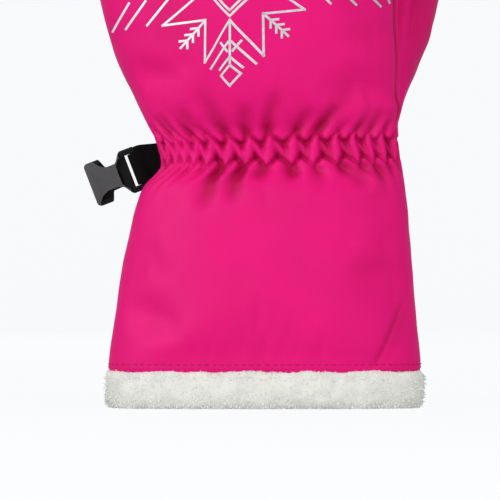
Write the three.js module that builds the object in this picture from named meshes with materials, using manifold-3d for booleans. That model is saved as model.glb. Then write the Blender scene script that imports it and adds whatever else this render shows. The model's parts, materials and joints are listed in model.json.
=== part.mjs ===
// Left-hand ski mitten, standing on the fur trim of its gauntlet cuff with the fingers up.
// Millimetres, +Z from the hem to the fingertips, -Y out of the back of the hand, +X towards the thumb.
// The origin is the middle of the bounding box in X and Y, on the surface the mitten stands on.
//
// The mitten is a stack of sewn layers, each one the space between two insets of the same outline:
// outer shell, wadding and fleece lining. The stack is cut where the mitten bends:
//   wrist      a hinge along X in the elasticated waist, between the cuff and the hand
//   fingers    a hinge along X across the finger pocket
//   thumb      a hinge along Y at the root of the thumb
// A side-release buckle socket hangs from a webbing tab sewn into the little-finger side seam.
import * as THREE from "three";
import { mergeVertices } from "three/addons/utils/BufferGeometryUtils.js";
import Module from "manifold-3d";

const wasm = await Module();
wasm.setup();

// ---------------------------------------------------------------- driving dimensions

const GAP = 0.4; // clearance between pieces that touch on the real mitten
const REACH = 400; // size of the blocks that cut the mitten apart
const SIDES = 20; // facets round the hand
const THUMB_SIDES = 12;
const ROUNDNESS = 2.4; // superellipse exponent of every cross-section: 2 is an ellipse
const TIP_ROUNDNESS = 2.3; // the same, for the way the fingertips and the thumb tip close
const TIP_STEPS = [0.3, 0.52, 0.7, 0.84, 0.94, 0.985]; // rings of a closed tip, as shares of its height

const HEM = 18; // height of the shell's hem, which is the top of the fur trim
const FINGERTIP = 306;
const THUMB_TIP = 247;

// Height, little-finger edge, thumb edge, half depth, and how far the middle leans to the palm.
const HAND_STATIONS = [
  [HEM, -72.4, 71.9, 24.5, 0],
  [68, -65.2, 67.7, 22.5, 0],
  [90, -60.4, 65.8, 20.6, 0],
  [100, -57.2, 64.4, 19.3, 0],
  [104.5, -54.6, 63.9, 18.4, 0],
  [108, -49.8, 63.5, 17.9, 0],
  [112, -47.8, 63, 17.6, 0],
  [119, -49.2, 62, 17.3, 0],
  [130, -54, 60.8, 18, 0],
  [147, -61.8, 61, 21.5, 0],
  [162, -68.4, 61.5, 24, 0],
  [177, -73, 61.5, 25.6, 0],
  [192, -77.2, 61, 26.4, 0.6],
  [215, -80.5, 60, 26, 2],
  [250, -80, 55, 24, 5],
];
const FINGERTIP_LEAN = 9;
const SEAM = 9; // the side seams lie a little to the palm's side of the middle

// Height, middle in X and Y, half width, half depth.
const THUMB_STATIONS = [
  [128, 40, 3, 20, 12],
  [150, 43, 12, 24, 17],
  [170, 50.4, 21.5, 24.5, 19.5],
  [192, 57.4, 34.5, 24, 20],
  [215, 64.3, 46, 22.5, 19],
];
const THUMB_TIP_MIDDLE = [71, 56];

// Each layer lies between two insets of the outline.
const SHELL = [0, 1.2];
const WADDING = [1.6, 6.6];
const LINING = [7, 9.4];
const PATCH = [-1.2, -GAP]; // grip patches lie on the outside
const PRINT = [-0.8, -GAP]; // so does the foil print

const WRIST = { y: 0, z: 120.8, radius: 19.8 };
const FINGERS = { y: 5, z: 250, radius: 26.6 };
const THUMB = { x: 47, y: 15, z: 164, radius: 37 };
const BALL_GAP = 0.9; // clearance on the thumb's ball-shaped cut

const ELASTIC = { width: 13, inset: [1.6, 2.8] };
const FUR = { height: HEM - GAP, bulge: 2.2, wall: 12.4 };

// The tab and buckle share a frame: +X from the webbing bar to the socket's mouth, +Y along the bar,
// +Z to the palm. It is tilted down from the little-finger side of the wrist.
const BUCKLE = {
  bar: [-58.6, SEAM, 110.5],
  droop: 21, // degrees below level
  mouth: 23.3, // from the bar to the socket's mouth
  halfWidth: 10.3,
  waist: 5.6,
  thickness: 6.8,
  railThickness: 4.2,
  barRadius: 1.2,
  slot: 3.9, // far side of the webbing slot
  plate: 6.5, // where the thick body starts
  notch: [8.4, 15.6],
  cavity: { halfWidth: 8.2, height: 4.5, depth: 14.5 },
};
const WEBBING = { width: 14.8, thickness: 1.2, length: 5.2, anchor: 9 };

// The star on the back of the hand: arms every 45 degrees with a point between each two.
const STAR = { x: -16, z: 192.7, armLength: 44, pointRadius: 35, notchRadius: 16, line: 1.3 };

const COLOURS = {
  shell: 0xe0187c,
  patch: 0x26262a,
  wadding: 0xe9e7df,
  lining: 0xd8b9c6,
  fur: 0xe2e2da,
  elastic: 0xf2f2ee,
  webbing: 0x0f0d0f,
  plastic: 0x4a4a4b,
  foil: 0xd9dbde,
};

// ---------------------------------------------------------------- solids and meshes

/** A closed three.js geometry as a solid that can be joined and cut. */
function solid(geometry) {
  const bare = geometry.clone();
  bare.deleteAttribute("normal");
  bare.deleteAttribute("uv");
  const merged = mergeVertices(bare, 1e-4);
  return new wasm.Manifold(
    new wasm.Mesh({
      numProp: 3,
      vertProperties: merged.attributes.position.array,
      triVerts: new Uint32Array(merged.index.array),
    }),
  );
}

/** A named mesh of a solid, in its family's colour. */
function piece(name, body, family, roughness = 0.8, metalness = 0) {
  const { numProp, numVert, vertProperties, triVerts } = body.getMesh();
  const positions = new Float32Array(numVert * 3);
  for (let i = 0; i < numVert; i++) {
    positions.set(vertProperties.subarray(i * numProp, i * numProp + 3), i * 3);
  }
  const geometry = new THREE.BufferGeometry();
  geometry.setAttribute("position", new THREE.BufferAttribute(positions, 3));
  geometry.setIndex(new THREE.BufferAttribute(triVerts, 1));
  const material = new THREE.MeshStandardMaterial({ color: COLOURS[family], roughness, metalness });
  const mesh = new THREE.Mesh(geometry, material);
  mesh.name = name;
  return mesh;
}

const box = (width, depth, height, x, y, z) =>
  solid(new THREE.BoxGeometry(width, depth, height).translate(x, y, z));

/** Everything above, or below, a level. */
const above = (z) => box(REACH, REACH, REACH, 0, 0, z + REACH / 2);
const below = (z) => box(REACH, REACH, REACH, 0, 0, z - REACH / 2);

/** Everything in front of a plane across Y (the back of the hand), or behind it (the palm). */
const front = (y) => box(REACH, REACH, 2 * REACH, 0, y - REACH / 2, 0);
const behind = (y) => box(REACH, REACH, 2 * REACH, 0, y + REACH / 2, 0);

/** A round bar along X, as wide as the mitten: what turns about a hinge stays inside it. */
const hingeBar = ({ y, z }, radius) =>
  solid(new THREE.CylinderGeometry(radius, radius, REACH, 36).rotateZ(Math.PI / 2).translate(0, y, z));

const ball = ({ x, y, z }, radius) => solid(new THREE.SphereGeometry(radius, 32, 16).translate(x, y, z));

/** One cross-section: a superellipse round a middle point. */
function section(sides, x, y, z, halfWidth, halfDepth) {
  const bend = (v) => Math.sign(v) * Math.abs(v) ** (2 / ROUNDNESS);
  return Array.from({ length: sides }, (_, i) => {
    const angle = (2 * Math.PI * i) / sides;
    return [x + halfWidth * bend(Math.cos(angle)), y + halfDepth * bend(Math.sin(angle)), z];
  });
}

/** A closed solid through equal loops of points, from the lowest to the highest. */
function loft(loops) {
  const n = loops[0].length;
  const top = (loops.length - 1) * n;
  const index = [];
  for (let r = 0; r < loops.length - 1; r++) {
    for (let i = 0; i < n; i++) {
      const a = r * n + i;
      const b = r * n + ((i + 1) % n);
      index.push(a, b, b + n, a, b + n, a + n);
    }
  }
  for (let i = 1; i < n - 1; i++) {
    index.push(0, i + 1, i, top, top + i, top + i + 1);
  }
  const geometry = new THREE.BufferGeometry();
  geometry.setAttribute("position", new THREE.Float32BufferAttribute(loops.flat(2), 3));
  geometry.setIndex(index);
  return solid(geometry);
}

/**
 * The filled outline of a pocket, inset by a thickness. Stations are [z, x, y, halfWidth, halfDepth];
 * past the last one the pocket closes over a rounded tip. `drop` lengthens it downwards.
 */
function pocket(sides, stations, tip, tipMiddle, inset, drop = 0) {
  const loops = stations.map(([z, x, y, w, d]) => section(sides, x, y, z, w - inset, d - inset));
  if (drop) {
    const [z, x, y, w, d] = stations[0];
    loops.unshift(section(sides, x, y, z - drop, w - inset, d - inset));
  }
  const [zLast, xLast, yLast, wLast, dLast] = stations.at(-1);
  for (const share of TIP_STEPS) {
    const closing = (1 - share ** TIP_ROUNDNESS) ** (1 / TIP_ROUNDNESS);
    loops.push(
      section(
        sides,
        THREE.MathUtils.lerp(xLast, tipMiddle[0], share),
        THREE.MathUtils.lerp(yLast, tipMiddle[1], share),
        zLast + (tip - inset - zLast) * share,
        (wLast - inset) * closing,
        (dLast - inset) * closing,
      ),
    );
  }
  return loft(loops);
}

const handOutline = HAND_STATIONS.map(([z, left, right, halfDepth, lean]) => [
  z,
  (left + right) / 2,
  lean,
  (right - left) / 2,
  halfDepth,
]);
const fingertipMiddle = [handOutline.at(-1)[1], FINGERTIP_LEAN];

const handFill = (inset, drop = 0) =>
  pocket(SIDES, handOutline, FINGERTIP, fingertipMiddle, inset, drop);
const thumbFill = (inset) =>
  pocket(THUMB_SIDES, THUMB_STATIONS, THUMB_TIP, THUMB_TIP_MIDDLE, inset);

/** A layer of the whole mitten, open at the hem and from the palm into the thumb. */
const layer = ([outer, inner]) =>
  handFill(outer)
    .add(thumbFill(outer))
    .subtract(handFill(inner, 1).add(thumbFill(inner)));

// ---------------------------------------------------------------- where the mitten bends

// What belongs to each moving part, a gap short of its neighbours. The inside of each hinge's bar goes
// with one part only, so the other slides round it. The thumb is cut from the hand by a ball.
const thumbPart = thumbFill(-1.8)
  .intersect(above(THUMB.z))
  .subtract(ball(THUMB, THUMB.radius + BALL_GAP / 2))
  .subtract(handFill(-GAP));
const thumbKeepOut = thumbFill(-1.8)
  .intersect(above(THUMB.z))
  .subtract(ball(THUMB, THUMB.radius - BALL_GAP / 2))
  .subtract(handFill(0));
const cuffPart = below(WRIST.z - GAP / 2).add(hingeBar(WRIST, WRIST.radius));
const cuffKeepOut = below(WRIST.z + GAP / 2).add(hingeBar(WRIST, WRIST.radius + GAP));
const fingerPart = above(FINGERS.z + GAP / 2)
  .add(hingeBar(FINGERS, FINGERS.radius))
  .subtract(thumbKeepOut);
const fingerKeepOut = above(FINGERS.z - GAP / 2).add(hingeBar(FINGERS, FINGERS.radius + GAP));

const inCuff = (body) => body.intersect(cuffPart);
const inHand = (body) => body.subtract(cuffKeepOut).subtract(fingerKeepOut).subtract(thumbKeepOut);
const inFingers = (body) => body.intersect(fingerPart);
const inThumb = (body) => body.intersect(thumbPart);

// ---------------------------------------------------------------- webbing tab and buckle

/** Turns a shape drawn along the bar's axis, so that its depth lies along the bar. */
const alongBar = (geometry, width) => geometry.rotateX(Math.PI / 2).translate(0, width / 2, 0);

function placeOnBar(object) {
  object.position.set(...BUCKLE.bar);
  const droop = THREE.MathUtils.degToRad(BUCKLE.droop);
  const toMouth = new THREE.Vector3(-Math.cos(droop), 0, -Math.sin(droop));
  const alongTheBar = new THREE.Vector3(-Math.sin(droop), 0, Math.cos(droop));
  const toPalm = new THREE.Vector3(0, 1, 0);
  object.quaternion.setFromRotationMatrix(
    new THREE.Matrix4().makeBasis(toMouth, alongTheBar, toPalm),
  );
  object.updateMatrix();
  return object;
}

/** The strip of webbing, folded round the bar and sewn to itself, seen along the bar. */
function webbingLoop() {
  const { thickness, width, length } = WEBBING;
  const inner = BUCKLE.barRadius + 0.3;
  const outer = inner + thickness;
  const meet = -length + 1;
  const loop = new THREE.Shape();
  loop.absarc(0, 0, outer, -Math.PI / 2, Math.PI / 2);
  loop.lineTo(meet, thickness);
  loop.lineTo(-length, thickness);
  loop.absarc(-length, 0, thickness, Math.PI / 2, (3 * Math.PI) / 2);
  loop.lineTo(meet, -thickness);
  const eye = new THREE.Path();
  eye.absarc(0, 0, inner, -Math.PI / 2, Math.PI / 2);
  eye.lineTo(meet + 0.6, 0);
  loop.holes.push(eye);
  const strip = new THREE.ExtrudeGeometry(loop, { depth: width, bevelEnabled: false, curveSegments: 6 });
  return solid(alongBar(strip, width));
}

/** The end of the webbing inside the side seam, `slack` larger all round. */
function webbingAnchor(slack) {
  const start = WEBBING.length + WEBBING.thickness + GAP - slack;
  const end = WEBBING.length + WEBBING.thickness + GAP + WEBBING.anchor + slack;
  return new THREE.BoxGeometry(
    end - start,
    WEBBING.width + 2 * slack,
    2 * WEBBING.thickness + 2 * slack,
  ).translate(-(start + end) / 2, 0, 0);
}

/** The socket's plan: rounded bar end, waisted sides that bare the prongs, square mouth. */
function socketPlan() {
  const { halfWidth, waist, mouth, notch, barRadius } = BUCKLE;
  const corner = 3;
  const soft = 1.2;
  const upperEdge = [
    [-barRadius, halfWidth - corner],
    [-barRadius + corner * 0.3, halfWidth - corner * 0.3],
    [-barRadius + corner, halfWidth],
    [notch[0] - 3, halfWidth],
    [notch[0] - 1, halfWidth - soft],
    [notch[0] + 0.6, waist + 0.9],
    [notch[0] + 2, waist],
    [notch[1] - 2, waist],
    [notch[1] - 0.6, waist + 0.9],
    [notch[1], halfWidth - soft],
    [notch[1] + soft, halfWidth],
    [mouth - soft, halfWidth],
    [mouth, halfWidth - soft],
  ].map(([x, y]) => new THREE.Vector2(x, y));
  const lowerEdge = upperEdge.map(({ x, y }) => new THREE.Vector2(x, -y)).reverse();
  return new THREE.Shape([...upperEdge, ...lowerEdge]);
}

/** The socket half of a side-release buckle. */
function buckleSocket() {
  const { mouth, halfWidth, thickness, railThickness, barRadius, slot, plate, cavity } = BUCKLE;
  const plan = new THREE.ExtrudeGeometry(socketPlan(), { depth: thickness, bevelEnabled: false });
  const slotWidth = WEBBING.width + 0.8;
  const thin = (thickness - railThickness) / 2;
  const block = (x0, x1, width, z0, z1) =>
    box(x1 - x0, width, z1 - z0, (x0 + x1) / 2, 0, (z0 + z1) / 2);
  const bar = new THREE.CylinderGeometry(barRadius, barRadius, slotWidth + 2, 20);
  const all = 2 * halfWidth + 2;
  return solid(plan.translate(0, 0, -thickness / 2))
    .subtract(block(-10, plate, all, thickness / 2 - thin, thickness))
    .subtract(block(-10, plate, all, -thickness, -thickness / 2 + thin))
    .subtract(block(-10, slot, slotWidth, -thickness, thickness))
    .subtract(block(slot - 1, plate + 0.01, slotWidth, -thickness, -0.2))
    .subtract(
      block(mouth - cavity.depth, mouth + 1, 2 * cavity.halfWidth, -cavity.height / 2, cavity.height / 2),
    )
    .add(solid(bar));
}

// ---------------------------------------------------------------- trim

/** The fur trim round the hem: a fat ring, flat underneath, that bulges past the shell. */
function furTrim() {
  const [, x, y, w, d] = handOutline[0];
  const loopAt = (z, out) => section(SIDES, x, y, z, w + out, d + out);
  const outside = loft([
    loopAt(0, FUR.bulge * 0.4),
    loopAt(3, FUR.bulge),
    loopAt(FUR.height - 3, FUR.bulge),
    loopAt(FUR.height, FUR.bulge * 0.5),
  ]);
  const inside = loft([loopAt(-1, FUR.bulge - FUR.wall), loopAt(FUR.height + 1, FUR.bulge - FUR.wall)]);
  return outside.subtract(inside);
}

/** The elastic tape that gathers the wrist, between the shell and the wadding. */
const elasticBand = ([outer, inner], width) =>
  handFill(outer)
    .subtract(handFill(inner, 1))
    .intersect(above(WRIST.z - width / 2))
    .intersect(below(WRIST.z + width / 2));

/** A block through the mitten, seen from the palm, whose outline is a rounded patch. */
function patchBlock(left, right, bottom, top, corner) {
  const outline = new THREE.Shape();
  outline.moveTo(left + corner, bottom);
  outline.lineTo(right - corner, bottom);
  outline.quadraticCurveTo(right, bottom, right, bottom + corner);
  outline.lineTo(right, top - corner);
  outline.quadraticCurveTo(right, top, right - corner, top);
  outline.lineTo(left + corner, top);
  outline.quadraticCurveTo(left, top, left, top - corner);
  outline.lineTo(left, bottom + corner);
  outline.quadraticCurveTo(left, bottom, left + corner, bottom);
  const block = new THREE.ExtrudeGeometry(outline, { depth: 90, bevelEnabled: false, curveSegments: 4 });
  return solid(block.rotateX(Math.PI / 2).translate(0, 90, 0));
}

/** The star's lines as one upright block that cuts the print out of its layer. */
function starBlock() {
  const { x, z, armLength, pointRadius, notchRadius, line } = STAR;
  const at = (radius, eighths) => {
    const angle = (eighths * Math.PI) / 4;
    return [x + radius * Math.sin(angle), z - radius * Math.cos(angle)];
  };
  const stroke = ([x0, z0], [x1, z1]) => {
    const length = Math.hypot(x1 - x0, z1 - z0);
    return solid(
      new THREE.BoxGeometry(length + line, 80, line)
        .rotateY(-Math.atan2(z1 - z0, x1 - x0))
        .translate((x0 + x1) / 2, -40, (z0 + z1) / 2),
    );
  };
  const strokes = [];
  for (let arm = 0; arm < 8; arm++) {
    const long = arm % 2 === 0;
    strokes.push(
      stroke(at(0, arm), at(long ? armLength : pointRadius, arm)),
      stroke(at(notchRadius, arm), at(pointRadius, arm + 0.5)),
      stroke(at(notchRadius, arm), at(pointRadius, arm - 0.5)),
    );
  }
  return strokes.reduce((all, one) => all.add(one));
}

/** The layer between two outsets of the hand alone, for what is put on its surface. */
const onHand = ([outer, inner]) => handFill(outer).subtract(handFill(inner, 1));
const onThumb = ([outer, inner]) => thumbFill(outer).subtract(thumbFill(inner));

// ---------------------------------------------------------------- the mitten

const tabFrame = placeOnBar(new THREE.Object3D()).matrix;
const anchorHole = solid(webbingAnchor(GAP).applyMatrix4(tabFrame));

const shell = layer(SHELL).subtract(anchorHole);
const wadding = layer(WADDING)
  .subtract(elasticBand([0, ELASTIC.inset[1] + GAP], ELASTIC.width + 2 * GAP))
  .subtract(anchorHole);
const lining = layer(LINING).subtract(anchorHole);

const handOnly = handFill(0.01);
const pastHand = handFill(-GAP);
const palmPatch = onHand(PATCH).subtract(thumbFill(-4)).intersect(patchBlock(-58, 52, 150, 236, 16));
const fingerPatch = onHand(PATCH).intersect(patchBlock(-62, 34, 262, 294, 12)).intersect(behind(SEAM));
const thumbPatch = onThumb(PATCH).intersect(patchBlock(46, 86, 205, 238, 10)).intersect(behind(44));
const print = onHand(PRINT).intersect(starBlock());

const cuffMeshes = [
  piece("cuff_shell_back", inCuff(shell).intersect(front(SEAM - GAP / 2)), "shell"),
  piece("cuff_shell_palm", inCuff(shell).intersect(behind(SEAM + GAP / 2)), "shell"),
  piece("cuff_wadding", inCuff(wadding), "wadding"),
  piece("cuff_lining", inCuff(lining), "lining"),
  piece("fur_trim", furTrim(), "fur"),
  piece("wrist_elastic", elasticBand(ELASTIC.inset, ELASTIC.width).subtract(anchorHole), "elastic"),
  piece("webbing_anchor", solid(webbingAnchor(0).applyMatrix4(tabFrame)), "webbing"),
];

const handMeshes = [
  piece("hand_shell_back", inHand(shell).intersect(handOnly).intersect(front(SEAM - GAP / 2)), "shell"),
  piece("hand_shell_palm", inHand(shell).intersect(handOnly).intersect(behind(SEAM + GAP / 2)), "shell"),
  piece("thumb_base_shell", inHand(shell).subtract(pastHand), "shell"),
  piece("hand_wadding", inHand(wadding), "wadding"),
  piece("hand_lining", inHand(lining), "lining"),
  piece("palm_patch", inHand(palmPatch), "patch"),
  piece("snowflake_print", inHand(print), "foil"),
];

const fingerMeshes = [
  piece("finger_shell_back", inFingers(shell).intersect(front(SEAM - GAP / 2)), "shell"),
  piece("finger_shell_palm", inFingers(shell).intersect(behind(SEAM + GAP / 2)), "shell"),
  piece("finger_wadding", inFingers(wadding), "wadding"),
  piece("finger_lining", inFingers(lining), "lining"),
  piece("finger_patch", inFingers(fingerPatch), "patch"),
];

const thumbMeshes = [
  piece("thumb_shell", inThumb(shell), "shell"),
  piece("thumb_wadding", inThumb(wadding), "wadding"),
  piece("thumb_lining", inThumb(lining), "lining"),
  piece("thumb_patch", inThumb(thumbPatch), "patch"),
];

const tabMeshes = [
  placeOnBar(piece("webbing_tab", webbingLoop(), "webbing")),
  placeOnBar(piece("buckle_socket", buckleSocket(), "plastic", 0.45)),
];

const mitten = new THREE.Group();
mitten.add(...cuffMeshes, ...handMeshes, ...fingerMeshes, ...thumbMeshes, ...tabMeshes);
const middle = new THREE.Box3().setFromObject(mitten).getCenter(new THREE.Vector3());
mitten.position.set(-middle.x, -middle.y, 0);
export default mitten;
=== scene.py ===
import json
import math
import random

import bmesh
import bpy
import numpy as np
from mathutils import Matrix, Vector
from mathutils.bvhtree import BVHTree


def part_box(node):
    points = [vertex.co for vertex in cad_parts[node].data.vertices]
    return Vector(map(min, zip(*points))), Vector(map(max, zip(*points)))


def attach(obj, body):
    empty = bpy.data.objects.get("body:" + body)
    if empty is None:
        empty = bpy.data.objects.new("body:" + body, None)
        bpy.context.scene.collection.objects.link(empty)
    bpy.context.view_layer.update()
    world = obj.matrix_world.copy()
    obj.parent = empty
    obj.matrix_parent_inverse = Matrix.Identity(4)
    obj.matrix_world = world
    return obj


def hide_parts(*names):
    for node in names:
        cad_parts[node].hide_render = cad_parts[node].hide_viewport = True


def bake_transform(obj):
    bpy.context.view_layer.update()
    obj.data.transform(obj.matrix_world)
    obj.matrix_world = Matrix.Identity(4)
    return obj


# A padded left-hand ski mitten, standing on the fur trim of its cuff with the fingers up.
# Every surface is worked out in the mitten's own millimetres: X and Y from the axis of the wrist hinge,
# Z from the surface it stands on, -Y out of the back of the hand. place() turns them into the frame's metres.

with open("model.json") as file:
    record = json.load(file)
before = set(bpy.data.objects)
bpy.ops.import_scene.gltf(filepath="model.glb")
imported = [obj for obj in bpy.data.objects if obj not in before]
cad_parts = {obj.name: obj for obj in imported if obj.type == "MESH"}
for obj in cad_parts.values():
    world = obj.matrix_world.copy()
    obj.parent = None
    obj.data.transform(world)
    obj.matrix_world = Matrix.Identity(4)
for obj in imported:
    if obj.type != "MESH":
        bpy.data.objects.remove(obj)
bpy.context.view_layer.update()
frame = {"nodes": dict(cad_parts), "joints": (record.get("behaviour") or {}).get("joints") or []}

MM = 0.001
hinges = {j["name"]: j for j in frame["joints"]}
ORIGIN = np.array([*hinges["wrist_bend"]["pos_m"][:2], 0.0])


def place(points):
    """The mitten's own millimetres as metres in the frame."""
    return np.asarray(points, float) * MM + ORIGIN


def measure(points):
    """Metres in the frame as the mitten's own millimetres."""
    return (np.asarray(points, float) - ORIGIN) / MM


def node_box(name):
    """The lowest and the highest corner of a CAD node."""
    low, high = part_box(name)
    return measure(low), measure(high)


# ---------------------------------------------------------------- driving dimensions, millimetres

HEM = node_box("cuff_shell_back")[0][2]
FUR_TOP = node_box("fur_trim")[1][2]
FINGERTIP = node_box("finger_shell_back")[1][2] + 0.8
SEAM_Y = (node_box("cuff_shell_back")[1][1] + node_box("cuff_shell_palm")[0][1]) / 2
ROUNDNESS = 2.4  # superellipse exponent of every cross-section
TIP_ROUNDNESS = 2.3
TIP_START = 250  # above this the finger pocket closes
TIP_LEAN = 4
BODY_SPLIT = 189  # the lower cover ends and the upper one starts
LINING_INSET = 9.2

WRIST_ZONE = (100, 138)  # two heights at the wrist, listed for the covers that span it
FINGER_ZONE = (234, 268)
THUMB_ZONE = (16, 42)  # distances from the thumb's hinge, along the thumb
TAB_ZONE = (2.5, -2)  # distances from the tab's hinge, away from the buckle's bar

# The two rows of stitching that gather the wrist on its elastic rise a little towards the thumb.
ROW_LOW, ROW_HIGH, ROW_TILT = 113, 123.2, 0.026
# Where the gathers' ridges meet the upper and the lower row, across the back of the hand.
RIDGE_TOPS = (-44.4, -40, -36.1, -30.5, -23.6, -14.7, -5.7, 3.5, 14.7, 24.7, 33.8, 41.6, 48.8, 54.7)
RIDGE_FEET = (-46, -42.5, -38.4, -34.3, -27.9, -19.3, -10, -0.2, 11.2, 21, 32.2, 42.3, 49.2, 55.2)
PALM_RIDGE = 8.6  # spacing of the ridges round the rest of the wrist
GATHER_DEPTH = 4.2
PANEL_SEAM_DEPTH = 2.0
HEM_STITCHES = HEM + 2.2
GATHERS_UP, GATHERS_DOWN = 26, 24  # how far the gathers run above the rows and below them
GATHERS_MIDDLE = 119
FINE_FROM, FINE_TO = 96, 150  # heights between which the covers' points are closest together
# Soft troughs run from the rows into the hand and into the cuff. X and Z of the far end, then at the row,
# and the depth.
TROUGHS = [
    (-49, 134, -43, 125, 1.25),
    (-39.5, 138, -33.5, 125, 1.25),
    (-29.5, 145, -17.5, 127, 1.25),
    (-9.5, 139, -8, 125, 1.25),
    (5.5, 146, 0.5, 126, 1.25),
    (20.5, 137, 14, 126, 1.25),
    (39, 143.5, 22, 126, 1.25),
    (55, 137, 45, 126, 1.25),
    (-28.5, 93, -21, 112, 2.3),
    (-15.5, 95, -10.5, 112, 2.1),
    (-3.5, 105, -2, 112, 1.25),
    (14, 106, 9.5, 112, 1.25),
    (47.5, 102, 36, 112, 1.5),
    (57, 105, 46, 112, 1.25),
]
CLOTH_FRAMES = 20
SWELL_LIMIT = 3.5  # furthest the simulated cloth may move
CREASE = ((50, 19), (65, 53))  # ends of a crease in the cuff, in X and Z

# Height, middle in X and Y, half width, half depth of the thumb.
THUMB_SECTIONS = [
    (128, 40.2, 3, 20.2, 12),
    (150, 43.2, 12, 24.1, 17),
    (160, 47.6, 16.7, 24.8, 18.2),
    (170, 51.2, 21.5, 24.4, 19.5),
    (192, 58.2, 34.5, 24, 20),
    (215, 64.9, 46, 22.5, 19),
]
THUMB_TIP = 247
THUMB_TIP_MIDDLE = (71, 56)

# The star on the back of the hand.
STAR_X, STAR_Z = -16.1, 192
STAR_POINT = 35  # radius of its eight points
STAR_SHEAR = 0.11  # the print was laid on a little askew
FOIL_WIDTH = 1.05
FOIL_LIFT = 0.12
# The dashes beside it: where the foot is in X, how far it is from the star's middle in Z, the head's X.
RAYS = [(-53.9, 13.2, -46.8), (-48.1, 12.9, -39.8), (-39, 12.4, -29.8)]
RAYS += [(45.1, 12, 35), (57.4, 13.7, 45.5), (68.9, 15.4, 56), (73, 14, 69.5)]

# The photograph's view: its width, and what it is centred on.
VIEW_WIDTH = 230
VIEW_MIDDLE = (-6.9, 0, 72.7)

rng = random.Random(7)


# ---------------------------------------------------------------- lists of points and grids of points


def unit(vectors):
    """Vectors brought to length 1, along their last axis."""
    return vectors / np.maximum(np.linalg.norm(vectors, axis=-1, keepdims=True), 1e-9)


def run_length(path):
    """Distance along a list of points, at each of them."""
    return np.concatenate([[0], np.cumsum(np.linalg.norm(np.diff(path, axis=0), axis=1))])


def columns_at(places, knots, table):
    """Each column of a table that has a row at each knot, read at other places."""
    return [np.interp(places, knots, column) for column in np.asarray(table, float).T]


def read_at(places, knots, table):
    """The rows of such a table at other places."""
    return np.stack(columns_at(places, knots, table), 1)


def squared(value, power):
    """A cosine or sine drawn out to a superellipse's."""
    return np.sign(value) * np.abs(value) ** power


def step_up(value, start, end):
    """0 up to the start, 1 from the end, and a smooth step between."""
    share = np.clip((value - start) / (end - start), 0, 1)
    return share * share * (3 - 2 * share)


def hump(value, middle, width):
    """A smooth rise to 1 at the middle."""
    return np.exp(-(((value - middle) / width) ** 2))


def smoothed(columns, width):
    """Columns of values, each blurred along its length."""
    reach = int(3 * width)
    kernel = np.exp(-0.5 * (np.arange(-reach, reach + 1) / width) ** 2)
    kernel /= kernel.sum()
    padded = np.pad(columns, ((reach, reach), (0, 0)), "reflect", reflect_type="odd")
    return np.stack([np.convolve(c, kernel, "valid") for c in padded.T], 1)


def blurred(grid, times):
    """A grid, open along its rows and closed round its columns, smoothed a little."""
    for _ in range(times):
        grid = (np.roll(grid, 1, 1) + 2 * grid + np.roll(grid, -1, 1)) / 4
        inner = (grid[:-2] + 2 * grid[1:-1] + grid[2:]) / 4
        grid = np.concatenate([grid[:1], inner, grid[-1:]])
    return grid


def grid_normals(points):
    """Outward unit normals of a grid of points closed round its columns."""
    round_it = np.roll(points, -1, 1) - np.roll(points, 1, 1)
    return unit(np.cross(round_it, np.gradient(points, axis=0)))


def raised(points, height):
    """A grid of points pushed out along its normals."""
    return points + grid_normals(points) * height[:, :, None]


def section_grid(heights, outline_at, unit_x, unit_y, inset):
    """Rows of points round an outline at each height, inset from it."""
    z = np.asarray(heights, float)[:, None] * np.ones((1, len(unit_x)))
    cx, cy, width, depth = outline_at(z)
    x = cx + np.maximum(width - inset, 0.3) * unit_x
    y = cy + np.maximum(depth - inset, 0.3) * unit_y
    return np.stack([x, y, z], 2)


def closing_share(z, start, end):
    """How far a height is up a closing tip, 0 to 1, and the share of the width that is left there."""
    share = np.clip((z - start) / (end - start), 0, 1)
    return share, (1 - share**TIP_ROUNDNESS) ** (1 / TIP_ROUNDNESS)


def closing_heights(start, end, first, last, count):
    """Heights up a closing tip, closer together towards its end: the angles are those of its profile."""
    return start + (end - start) * np.sin(np.linspace(first, last, count))


# ---------------------------------------------------------------- outline of the mitten, from the frame


def shell_edges():
    """Both ends of every edge of the CAD shell of the cuff, hand and fingers."""
    ends = []
    for name in (f"{part}_shell_{side}" for part in ("cuff", "hand", "finger") for side in ("back", "palm")):
        mesh = frame["nodes"][name].data
        co = np.empty(len(mesh.vertices) * 3)
        mesh.vertices.foreach_get("co", co)
        pairs = np.empty(len(mesh.edges) * 2, int)
        mesh.edges.foreach_get("vertices", pairs)
        ends.append(measure(co.reshape(-1, 3))[pairs.reshape(-1, 2)])
    return np.concatenate(ends)


def extents(edges, z):
    """Left, right, front and back of the shell at a height."""
    a, b = edges[:, 0], edges[:, 1]
    crossing = (a[:, 2] - z) * (b[:, 2] - z) < 0
    a, b = a[crossing], b[crossing]
    share = (z - a[:, 2]) / (b[:, 2] - a[:, 2])
    cut = a + share[:, None] * (b - a)
    return cut[:, 0].min(), cut[:, 0].max(), cut[:, 1].min(), cut[:, 1].max()


LEVELS = np.arange(HEM + 0.3, TIP_START, 1.0)
EDGES = shell_edges()
OUTLINE = smoothed(np.array([extents(EDGES, z) for z in LEVELS]), 2.2)


def outline(z):
    """Middle in X and Y, and half width and depth, of the mitten's section at each height."""
    z = np.asarray(z, float)
    left, right, front, back = columns_at(z, LEVELS, OUTLINE)
    share, closing = closing_share(z, TIP_START, FINGERTIP)
    return (
        (left + right) / 2,
        (front + back) / 2 + TIP_LEAN * share,
        (right - left) / 2 * closing,
        (back - front) / 2 * closing,
    )


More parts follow.
